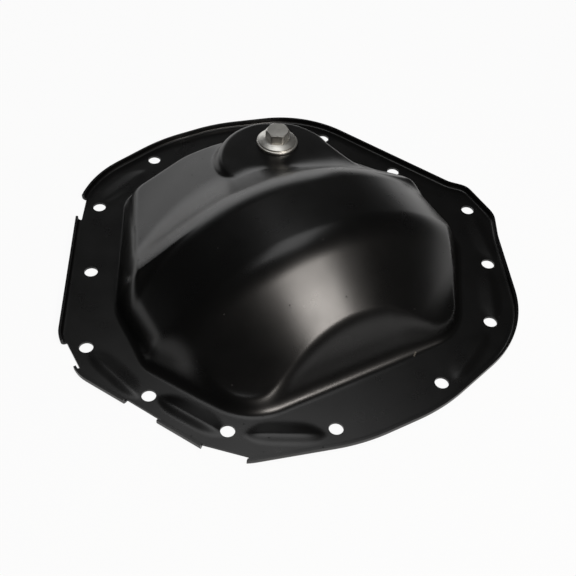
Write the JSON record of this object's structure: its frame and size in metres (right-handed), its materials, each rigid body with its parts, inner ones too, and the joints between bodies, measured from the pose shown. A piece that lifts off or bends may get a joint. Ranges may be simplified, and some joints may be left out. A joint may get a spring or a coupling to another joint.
{
  "type": "differential cover",
  "caption": "Pressed steel differential cover with bolt flange, turned-up rim, domed barrel and hex fill plug.",
  "frame": {"origin": "middle of the bolt pattern on the gasket face", "axes": "+Z out of the gasket face towards the dome, +Y up the bolt pattern, X along the axle line"},
  "size_m": [0.372, 0.3938, 0.089],
  "materials": {
    "shell_black": "semi-gloss black electrocoat on pressed steel",
    "plug_zinc": "zinc-plated steel with a faint yellow cast",
    "washer_zinc": "zinc-plated steel washer",
    "nut_black": "welded nut coated with the cover"
  },
  "bodies": {
    "root": {"cover_shell": "shell_black", "fill_plug": "plug_zinc", "seal_washer": "washer_zinc", "weld_nut": "nut_black"}
  },
  "joints": []
}
